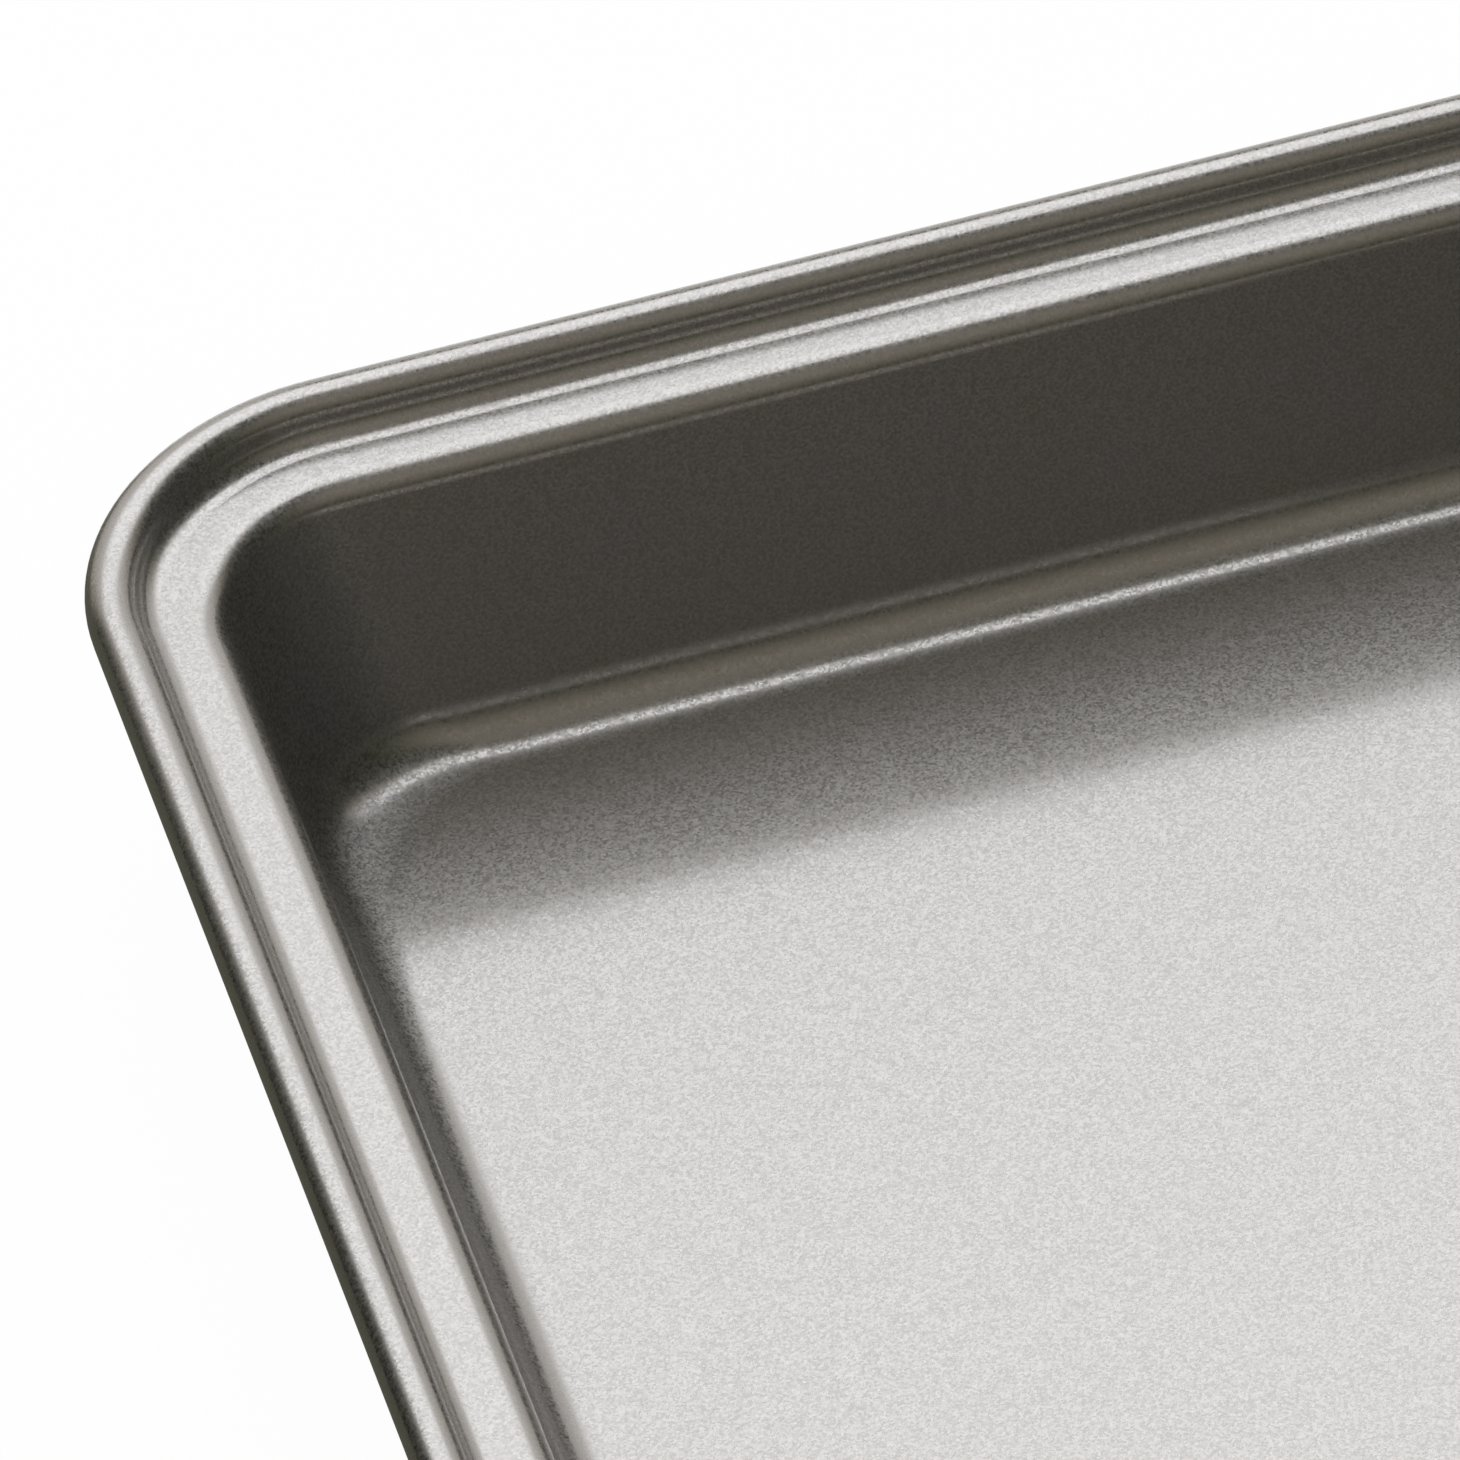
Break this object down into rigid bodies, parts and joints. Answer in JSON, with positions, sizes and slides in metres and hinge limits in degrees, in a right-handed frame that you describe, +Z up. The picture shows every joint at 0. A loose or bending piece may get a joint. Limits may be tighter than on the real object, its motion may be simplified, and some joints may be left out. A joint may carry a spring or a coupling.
{
  "type": "brownie pan",
  "caption": "Rectangular pressed steel baking pan with sloped walls, round corners, a ledge and a rolled rim stiffened by a wire ring.",
  "frame": {"origin": "on the surface that the pan stands on, under the middle of its floor", "axes": "+Z up, +X along the long side, +Y along the short side"},
  "size_m": [0.308, 0.2064, 0.0389],
  "materials": {
    "coated_sheet": "grey non-stick coating with fine metallic flake, satin sheen",
    "rim_wire_steel": "plain drawn steel wire"
  },
  "bodies": {
    "root": {"pan_shell": "coated_sheet", "rim_wire": "rim_wire_steel"}
  },
  "joints": []
}
